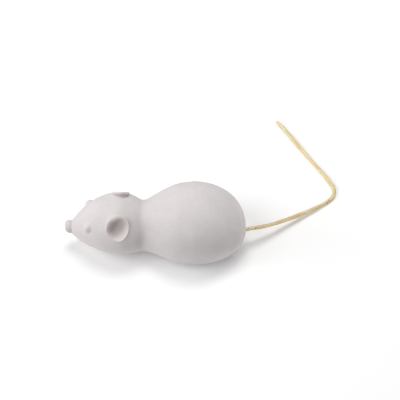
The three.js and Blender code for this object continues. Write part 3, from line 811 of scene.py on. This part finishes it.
def capped(points, rings, sides):
    """Faces of a form whose first and last rings are closed by a fan."""
    faces = ring_faces(rings, sides)
    first, last = len(points), len(points) + 1
    ends = [points[:sides].mean(0), points[-sides:].mean(0)]
    for j in range(sides):
        k = (j + 1) % sides
        faces.append((first, k, j))
        faces.append((last, (rings - 1) * sides + j, (rings - 1) * sides + k))
    return mesh_of(np.vstack([points, ends]), faces)


# The back of an ear, from its foot to its flank: radius as a share of the rim's, and height in
# millimetres out of the plane of the rim.
EAR_BACK = [
    (0.40, -4.6),
    (0.41, -3.9),
    (0.56, -3.5),
    (0.66, -2.8),
    (0.72, -2.2),
    (0.78, -1.6),
    (0.84, -1.0),
    (0.90, -0.6),
    (0.97, -0.2),
]


def ear_seat(one):
    """What the shell loses to an ear, so that nothing of the shell shows in the cup."""
    sides = 72
    rows = [(share - 0.035, height) for share, height in EAR_BACK] + [(0.955, 4.0)]
    turns = [2 * math.pi * j / sides for j in range(sides)]
    points = []
    for share, height in rows:
        points += [ear_point(one, a, share * ear_rim(one, a), height) for a in turns]
    return capped(np.array(points), len(rows), sides)


def add_shell():
    rows = shell_outline()[1:-1]
    sides = SHELL_SIDES
    points = round_form(rows, sides)
    for shaped in (swell_round_ears, hollow_flanks, raise_eyes, uneven):
        points = shaped(points, outward(points, len(rows), sides))
    outer = capped(points, len(rows), sides)
    hollow_rows = inner_outline(shell_outline())
    hollow = capped(round_form(hollow_rows, HOLLOW_SIDES), len(hollow_rows), HOLLOW_SIDES)
    arbor = middle_of("winding_arbor")
    tail_height = TAIL_ROUTE[0][2] * MM
    tail_hole = tube_along_x((40 * MM, 50 * MM), TAIL_HOLE_RADIUS, tail_height)
    key_side = (MIDDLE_Y + 12 * MM, MIDDLE_Y + 24 * MM)
    key_hole = rod(KEY_HOLE_RADIUS, *key_side, (arbor[0], 0, arbor[2]))
    below = block((-0.1, -0.1, -0.1), (0.1, 0.1, SHELL_BOTTOM))
    seats = [ear_seat(one) for one in EARS.values()]
    mesh = cut_by(outer, hollow)
    mesh = cut_by(mesh, *screw_bosses(), operation="UNION")
    mesh = cut_by(mesh, below, key_hole, tail_hole, *seats)
    piece("shell", mesh, finishes["shell"], "root", ["body_shell"])


def tube_along_x(xs, radius, height):
    made = rod(radius, xs[0], xs[1], (0, 0, 0))
    made.transform(Matrix.Rotation(-math.pi / 2, 4, "Z"))
    made.transform(Matrix.Translation((0, MIDDLE_Y, height)))
    return made


def screw_bosses():
    """Posts inside the shell that the base plate's screws turn into."""
    made = []
    for name in SCREWS:
        x, y, _ = middle_of(name)
        profile = [(1.0, 3.2), (2.2, 3.2), (2.2, 9.4), (1.0, 9.4)]
        sized = [(r * MM, z * MM) for r, z in softened(profile, 0.15)]
        made.append(turned(sized, np.array((x, y, 0)), "Z", 40))
    return made


# ---------------------------------------------------------------- the ears


def lip_width(a):
    """The lip is widest at the top and narrow at the rear."""
    return 1.25 - 0.42 * math.cos(a) + 0.8 * math.sin(a) - 0.25 * math.cos(2 * a)


def ear_rows():
    """Rows of kind, share and height: over the back, then the lip, then down into the cup."""
    rows = [("back", share, height) for share, height in EAR_BACK]
    for a in np.linspace(0, math.pi, 13):
        rows.append(("lip", 0.5 - 0.5 * math.cos(a), 0.78 * math.sin(a) ** 0.7))
    for t in (0.05, 0.11, 0.18, 0.27, 0.38, 0.51, 0.66, 0.82):
        rows.append(("cup", 1 - t, -3.3 * (1 - (1 - t) ** 2.8)))
    return rows


def add_ear(name, one):
    sides = 112
    rows = ear_rows()
    points = []
    for kind, share, height in rows:
        for j in range(sides):
            a = 2 * math.pi * j / sides
            rim, lip = ear_rim(one, a), lip_width(a)
            if kind == "back":
                spot = ear_point(one, a, share * rim, height)
            elif kind == "lip":
                spot = ear_point(one, a, rim - lip * share, height * (0.7 + 0.3 * lip))
            else:
                spot = ear_point(one, a, (rim - lip) * share, height)
            points.append(spot)
    mesh = capped(np.array(points), len(rows), sides)
    piece(f"{name}_cup", mesh, finishes["ears"], "root", [name])


# ---------------------------------------------------------------- the works underneath

# How far the cross of each screw's head is turned, in radians.
SCREWS = {"screw_front": 0.3, "screw_rear_left": 1.1, "screw_rear_right": 0.75}
THREAD_START, THREAD_PITCH, THREAD_TURNS = 1.25, 0.38, 11
# The ends along the mouse and the half width of each bead, in millimetres.
PLATE_BEADS = ((-10.0, 7.5, 3.6), (10.2, 33.4, 4.6))
PLATE_THICKNESS = 0.6 * MM
PLATE_INSET = 0.6 * MM
PLATE_EDGE = 0.16 * MM
# Where the motor's tabs pass through the plate, and the bracket's two faces off the middle plane.
TAB_PLACES = (13.4 * MM, 30.4 * MM)
CHEEK_FACES = (2.4, 3.1)


def middle_of(node):
    low, high = corners(node)
    return (low + high) / 2


def on_axis(node):
    """The node's middle in x and z, with y left at 0."""
    x, _, z = middle_of(node)
    return np.array((x, 0, z))


def radius_and_ends(node):
    """A turned node's radius and its two ends along y, in millimetres."""
    low, high = corners(node)
    return (high[0] - low[0]) / 2 / MM, low[1] / MM, high[1] / MM


def body_of(node):
    bodies = frame["record"]["behaviour"]["bodies"]
    return next(body for body, members in bodies.items() if node in members)


def add_base_plate():
    """A stamped tin plate that closes the shell, with slots and the roller's bracket."""
    low, high = corners("base_plate")
    bottom, top = low[2], low[2] + PLATE_THICKNESS
    plate = slab(plate_outline(PLATE_INSET), bottom, top, PLATE_EDGE, mirrored=True)
    plate = joined(plate, *bracket_cheeks(bottom, high[2]), *plate_beads(bottom))
    bore = rod(0.68 * MM, MIDDLE_Y - 6 * MM, MIDDLE_Y + 6 * MM, on_axis("roller_pin"))
    mesh = cut_by(plate, bore, *plate_openings(bottom, top))
    piece("base_pan", mesh, finishes["tin"], "root", ["base_plate"])


def plate_outline(inset):
    """The shell's outline where it is cut off below, drawn in."""
    squares = [(x, r**2 - (z - SHELL_BOTTOM) ** 2) for x, r, z in shell_outline()]
    near = np.array([(x, -math.sqrt(square)) for x, square in squares if square > inset**2])
    ahead = np.gradient(near, axis=0)
    ahead /= np.linalg.norm(ahead, axis=1)[:, None]
    near += inset * np.stack([-ahead[:, 1], ahead[:, 0]], 1)
    kept = [near[0]]
    for point in near[1:]:
        if point[0] > kept[-1][0] + 0.01 * MM and point[1] < -0.2 * MM:
            kept.append(point)
    outline = [(x, MIDDLE_Y + y) for x, y in kept]
    return outline + [(x, MIDDLE_Y - y) for x, y in reversed(kept)]


def plate_beads(bottom):
    """Stiffening beads pressed out of the plate, as low rounded ridges along closed ovals."""
    beads = []
    depth = 0.3 * MM
    for low_x, high_x, half in PLATE_BEADS:
        loops = []
        for inset in (0, 0.9):
            reach = (half - inset) * MM
            low = ((low_x + inset) * MM, MIDDLE_Y - reach)
            high = ((high_x - inset) * MM, MIDDLE_Y + reach)
            loops.append(rounded_box_outline(low, high, reach * 0.98, 13))
        ridge = slab(loops[0], bottom - depth, bottom + 0.2 * MM, 0.26 * MM)
        inside = slab(loops[1], bottom - 2 * depth, bottom + 1 * MM, CUTTER_EDGE)
        beads.append(cut_by(ridge, inside))
    return beads


def plate_openings(bottom, top):
    """Slots for the wheels, the roller and the motor's tabs, and the screws' holes."""
    low, high = bottom - 2 * MM, top + 2 * MM
    slots = []
    axle = middle_of("drive_axle")
    for side in ("left", "right"):
        wheel_low, wheel_high = corners(f"tyre_{side}")
        half_length = (wheel_high[0] - wheel_low[0]) / 2 - 0.1 * MM
        start = (axle[0] - half_length, wheel_low[1] - 0.45 * MM)
        end = (axle[0] + half_length, wheel_high[1] + 0.45 * MM)
        slots.append(rounded_box_outline(start, end, 0.9 * MM))
        plate_low, plate_high = corners(f"motor_plate_{side}")
        for x in TAB_PLACES:
            start = (x - 1.5 * MM, plate_low[1] - 0.2 * MM)
            end = (x + 1.5 * MM, plate_high[1] + 0.2 * MM)
            slots.append(rounded_box_outline(start, end, 0.25 * MM))
    roller_low, roller_high = corners("front_roller")
    middle_x = (roller_low[0] + roller_high[0]) / 2
    half_length = (roller_high[0] - roller_low[0]) / 2 + 0.4 * MM
    start = (middle_x - half_length, MIDDLE_Y - 2.38 * MM)
    end = (middle_x + half_length, MIDDLE_Y + 2.38 * MM)
    slots.append(rounded_box_outline(start, end, 0.8 * MM))
    openings = [slab(slot, low, high, CUTTER_EDGE) for slot in slots]
    for name in SCREWS:
        x, y, _ = middle_of(name)
        openings.append(rod(1.1 * MM, low, high, (x, y, 0), "Z"))
    return openings


def bracket_cheeks(bottom, top):
    """Two lugs bent up out of the plate to hold the roller's pin."""
    pin = middle_of("roller_pin")
    cheeks = []
    for side in (-1, 1):
        corner = (pin[0] - 2.2 * MM, bottom - 1.4 * MM)
        outline = rounded_box_outline(corner, (pin[0] + 2.2 * MM, top), 1.4 * MM)
        # The foot is square, because it is bent up out of the plate.
        outline = [(u, max(v, bottom + 0.1 * MM)) for u, v in outline]
        outline = [p for i, p in enumerate(outline) if p != outline[i - 1]]
        inner, outer = sorted(MIDDLE_Y + side * face * MM for face in CHEEK_FACES)
        cheeks.append(slab(outline, inner, outer, 0.12 * MM, axis="Y"))
    return cheeks


def add_screws():
    """Pan-head screws with a cross recess and a rolled thread."""
    for name, turn in SCREWS.items():
        low, high = corners(name)
        x, y, _ = middle_of(name)
        radius = (high[0] - low[0]) / 2 / MM
        head = [(0.001, 0.0), (0.9, 0.02), (1.4, 0.14), (1.68, 0.36), (radius, 0.62), (radius, 0.84)]
        shank = [(radius - 0.12, 0.9), (0.96, 0.9)]
        length = (high[2] - low[2]) / MM
        for i in range(THREAD_TURNS):
            level = THREAD_START + THREAD_PITCH * i
            shank += [(0.72, level), (0.95, level + 0.14), (0.95, level + 0.2), (0.72, level + 0.34)]
        shank = [p for p in shank if p[1] < length - 0.55]
        tip = [(0.7, length - 0.5), (0.35, length - 0.12), (0.001, length)]
        profile = [(r * MM, z * MM) for r, z in head + shank + tip]
        body = turned(profile, np.array((x, y, low[2])), "Z", 48)
        recess = []
        for quarter in (0, math.pi / 2):
            bar = block((-1.05 * MM, -0.2 * MM, -1 * MM), (1.05 * MM, 0.2 * MM, 0.5 * MM))
            bar.transform(Matrix.Rotation(turn + quarter, 4, "Z"))
            bar.transform(Matrix.Translation((x, y, low[2])))
            recess.append(bar)
        mesh = cut_by(body, *recess)
        piece(f"{name}_head", mesh, finishes["steel"], "root", [name])


def add_wheels():
    """Two moulded wheels, each with five holes in its web, and their ribbed rubber tyres."""
    for side in ("left", "right"):
        low, high = corners(f"drive_wheel_{side}")
        centre = on_axis("drive_axle")
        rim, start, end = radius_and_ends(f"drive_wheel_{side}")
        # The section: from the bore over one face to the rim, and back over the other face.
        face = [(1.0, start), (2.1, start), (2.1, start + 0.75), (3.9, start + 0.75)]
        face += [(4.2, start + 0.1), (rim, start + 0.1), (rim, end - 0.1), (4.2, end - 0.1)]
        face += [(3.9, end - 0.75), (2.1, end - 0.75), (2.1, end), (1.0, end)]
        section = [(r * MM, y * MM) for r, y in softened(face, 0.16)]
        holes = []
        for i in range(5):
            a = 2 * math.pi * i / 5 + 0.3
            at = (centre[0] + 3.0 * MM * math.cos(a), 0, centre[2] + 3.0 * MM * math.sin(a))
            holes.append(rod(0.55 * MM, low[1] - 1 * MM, high[1] + 1 * MM, at, sides=28))
        mesh = cut_by(turned(section, centre, sides=96), *holes)
        body = body_of(f"drive_wheel_{side}")
        piece(f"wheel_{side}", mesh, finishes["wheel"], body, [f"drive_wheel_{side}"])
        add_tyre(side, centre, body)


def add_tyre(side, centre, body):
    radius, start, end = radius_and_ends(f"tyre_{side}")
    middle = (start + end) / 2
    seat = radius - 1.5
    section = [(seat, start), (radius - 0.75, start), (radius - 0.05, start + 0.45)]
    section += [(radius, start + 0.7), (radius, middle - 0.22), (radius - 0.3, middle - 0.12)]
    section += [(radius - 0.3, middle + 0.12), (radius, middle + 0.22), (radius, end - 0.7)]
    section += [(radius - 0.05, end - 0.45), (radius - 0.75, end), (seat, end)]
    sized = [(r * MM, y * MM) for r, y in softened(section, 0.1)]

    def tread(here, j):
        outside = here > (radius - 0.6) * MM
        return here - 0.16 * MM if outside and j % 6 in (0, 1) else here

    mesh = turned(sized, centre, sides=216, shape=tread)
    piece(f"tread_{side}", mesh, finishes["rubber"], body, [f"tyre_{side}"])


def add_roller():
    """The nylon front roller, crowned and ribbed, and the pin it turns on."""
    centre = on_axis("front_roller")
    radius, start, end = radius_and_ends("front_roller")
    section = [(0.7, start), (1.5, start), (1.7, start + 0.3), (2.6, start + 0.3), (2.8, start)]
    section += [(radius - 0.75, start), (radius - 0.25, start + 0.5)]
    for i in range(4):
        rib = start + 0.7 + i * (end - start - 1.4) / 3.5
        section += [(radius - 0.02, rib), (radius - 0.02, rib + 0.22)]
        section += [(radius - 0.2, rib + 0.3), (radius - 0.2, rib + 0.42)]
    section = [p for p in section if p[1] < end - 0.55]
    section += [(radius - 0.25, end - 0.5), (radius - 0.75, end), (2.8, end), (2.6, end - 0.3)]
    section += [(1.7, end - 0.3), (1.5, end), (0.7, end)]
    sized = [(r * MM, y * MM) for r, y in softened(section, 0.06)]
    mesh = turned(sized, centre, sides=96)
    body = body_of("front_roller")
    piece("roller_barrel", mesh, finishes["nylon"], body, ["front_roller"])
    low, high = corners("roller_pin")
    pin_radius = (high[0] - low[0]) / 2
    chamfer = pin_radius * 0.35
    section = [(1e-6, low[1]), (pin_radius * 0.7, low[1]), (pin_radius, low[1] + chamfer)]
    section += [(pin_radius, high[1] - chamfer), (pin_radius * 0.7, high[1]), (1e-6, high[1])]
    mesh = turned(section, on_axis("roller_pin"), sides=40)
    piece("roller_axle", mesh, finishes["steel"], "root", ["roller_pin"])


def add_key():
    """A butterfly key: two looped wings on a bar, brazed into a turned hub."""
    low, high = corners("winding_key")
    x, _, z = middle_of("winding_key")
    hub_start, tip = low[1], high[1]
    hub_end = hub_start + 2.5 * MM
    lobe_out, lobe_radius = (high[0] - low[0]) / 2 - 3.5 * MM, 3.5 * MM
    stretch = (tip - hub_end) / 2 / lobe_radius
    lobe_y = tip - (tip - hub_end) / 2
    half = 0.75 * MM
    section = [(0.6, 0), (1.85, 0), (2.1, 0.25), (2.1, 0.8), (1.9, 1.0)]
    section += [(1.9, 1.3), (2.1, 1.5), (2.1, 2.1), (1.75, 2.5), (0.6, 2.5)]
    sized = [(r * MM, hub_start + y * MM) for r, y in softened(section, 0.08)]
    hub = turned(sized, np.array((x, 0, z)), sides=64)
    # The hub's bore is closed at its outer end.
    plug_start, plug_radius = hub_end - 1.2 * MM, 0.8 * MM
    plug = [(1e-6, plug_start), (plug_radius, plug_start), (plug_radius, hub_end), (1e-6, hub_end)]
    core = turned(plug, np.array((x, 0, z)), sides=32)
    bar_low, bar_high = (x - lobe_out, hub_end - 0.7 * MM), (x + lobe_out, tip - 1.4 * MM)
    bar = slab(rounded_box_outline(bar_low, bar_high, 0.6 * MM), z - half, z + half, 0.2 * MM)
    parts = [bar, hub, core]
    holes = []
    ring = [2 * math.pi * j / 72 for j in range(72)]
    for side in (-1, 1):
        centre_x = x + side * lobe_out
        loops = []
        for reach in (lobe_radius, 1.5 * MM):
            rounded = [(reach * math.cos(a), reach * stretch * math.sin(a)) for a in ring]
            loops.append([(centre_x + u, lobe_y + v) for u, v in rounded])
        parts.append(slab(loops[0], z - half, z + half, 0.28 * MM))
        holes.append(slab(loops[1], z - 3 * MM, z + 3 * MM, CUTTER_EDGE))
    mesh = cut_by(joined(*parts), *holes)
    piece("key_wings", mesh, finishes["key"], body_of("winding_key"), ["winding_key"])


KEPT_EDGE = 0.04 * MM
KEPT_EDGE_ANGLE = math.radians(50)


def finish_kept_node(node, slot):
    """A CAD piece whose shape stays: its finish, and edges broken by a hair."""
    node.data.materials.clear()
    node.data.materials.append(knot_finish if node.name == "tail_knot" else finishes[slot])
    edges = node.modifiers.new("broken_edges", "BEVEL")
    edges.width = KEPT_EDGE
    edges.segments = 2
    edges.limit_method = "ANGLE"
    edges.angle_limit = KEPT_EDGE_ANGLE


knot_finish = knotted_fibre()
finishes = {
    "shell": matte_skin("pale_moulding", (0.755, 0.712, 0.712), (0.722, 0.678, 0.68)),
    "ears": matte_skin("pale_ear_moulding", (0.77, 0.715, 0.702), (0.735, 0.675, 0.668)),
    "straw": straw_fibre(),
    "tin": worn_metal("tinplate", (0.70, 0.71, 0.72), (0.63, 0.64, 0.655), (0.22, 0.36), (8, 1, 1)),
    "key": worn_metal("plated_key", (0.70, 0.70, 0.69), (0.55, 0.55, 0.54), (0.2, 0.38), (1, 5, 1)),
    "steel": worn_metal("turned_steel", (0.56, 0.57, 0.59), (0.44, 0.45, 0.47), (0.22, 0.4)),
    "spring_steel": blued_steel(),
    "brass": worn_metal("stamped_brass", (0.80, 0.62, 0.28), (0.62, 0.46, 0.19), (0.24, 0.42)),
    "wheel": red_plastic(),
    "rubber": black_rubber(),
    "nylon": ivory_nylon(),
}

add_camera()
add_tail()
add_surroundings()
add_floor()
for lamp_name, settings in LIGHTS.items():
    add_light(lamp_name, *settings)

add_shell()
for ear_name, ear in EARS.items():
    add_ear(ear_name, ear)
add_base_plate()
add_screws()
add_wheels()
add_roller()
add_key()

for part in frame["record"]["subparts"]:
    node = nodes[part["node"]]
    if not node.hide_render:
        finish_kept_node(node, part["material_slot"])
